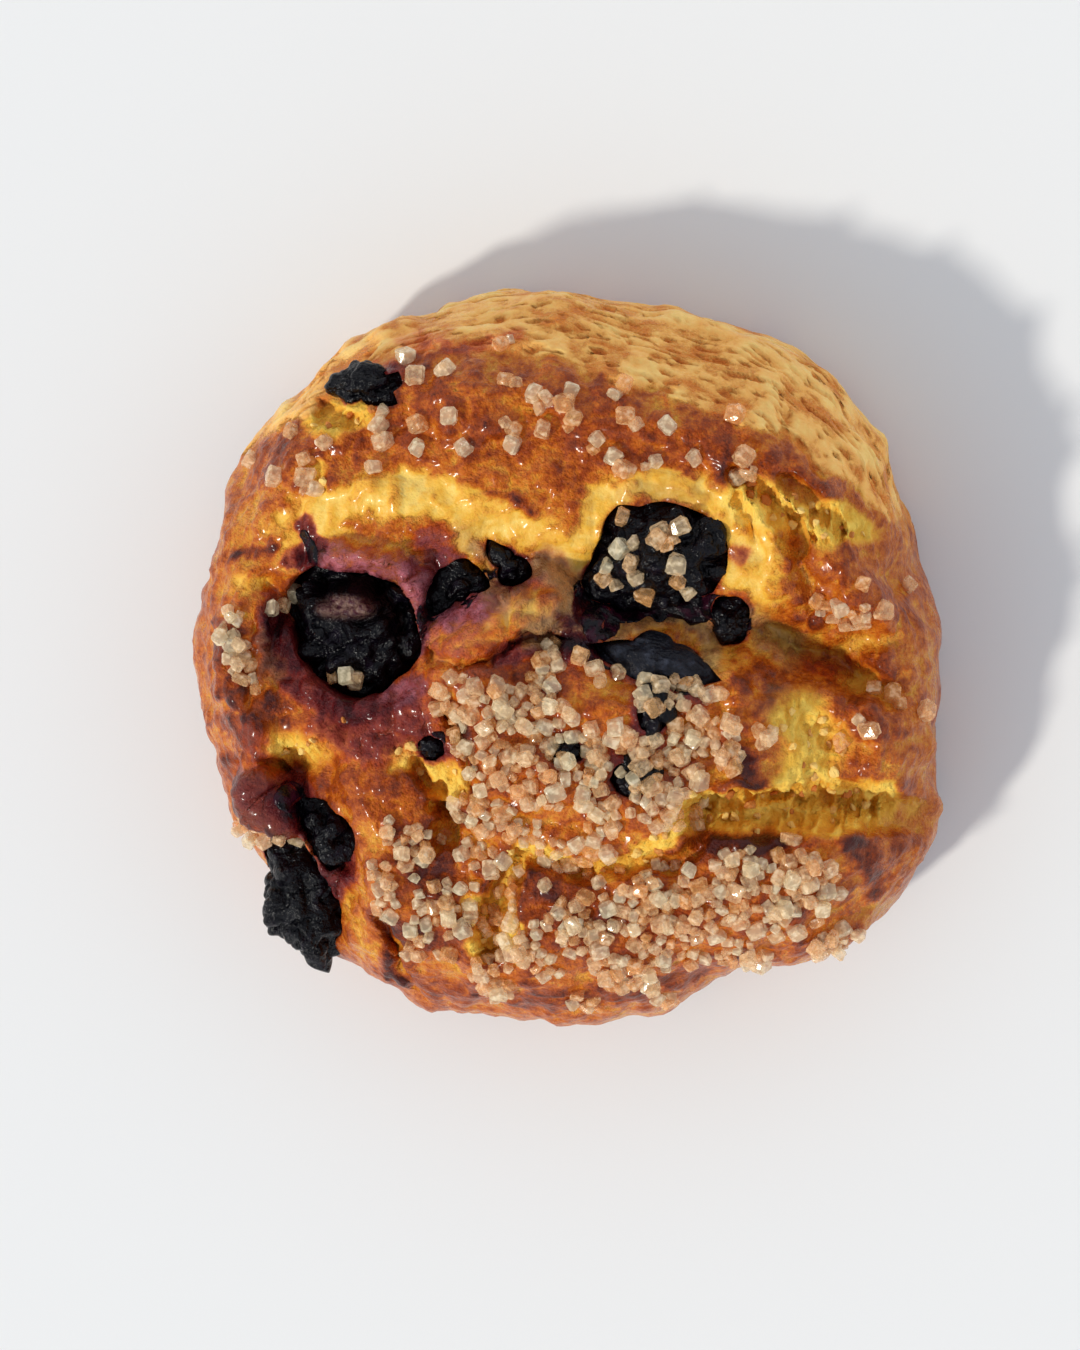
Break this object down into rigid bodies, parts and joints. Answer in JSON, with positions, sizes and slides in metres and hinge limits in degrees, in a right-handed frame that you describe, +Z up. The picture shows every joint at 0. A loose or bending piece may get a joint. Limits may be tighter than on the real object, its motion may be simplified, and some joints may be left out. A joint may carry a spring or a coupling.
{
  "type": "fruit scone",
  "caption": "Free-form fruit scone with a split, glazed crust, dark berries in its top and side, and coarse sugar baked on.",
  "frame": {"origin": "centre of the flat underside, on the surface that the scone rests on", "axes": "+Z up out of the sugared top; +Y towards the plain back where the crust rolls over into open crumb; +X to the right when the back is at the top"},
  "size_m": [0.0899, 0.0881, 0.0378],
  "materials": {
    "crust": "baked dough crust with egg glaze",
    "fruit": "cooked berry skin, wet and wrinkled",
    "sugar": "coarse raw sugar crystals",
    "juice": "set berry juice"
  },
  "bodies": {
    "root": {"scone": "crust", "berry_burst": "fruit", "berry_round": "fruit", "berry_gap_left": "fruit", "berry_gap_right": "fruit", "berry_flat": "fruit", "berry_corner": "fruit", "berry_back_edge": "fruit", "berry_crevice": "fruit", "berry_hanging": "fruit", "berry_sugar_low": "fruit", "berry_sugar_middle": "fruit", "berry_tail": "fruit", "berry_speck": "fruit"}
  },
  "joints": []
}
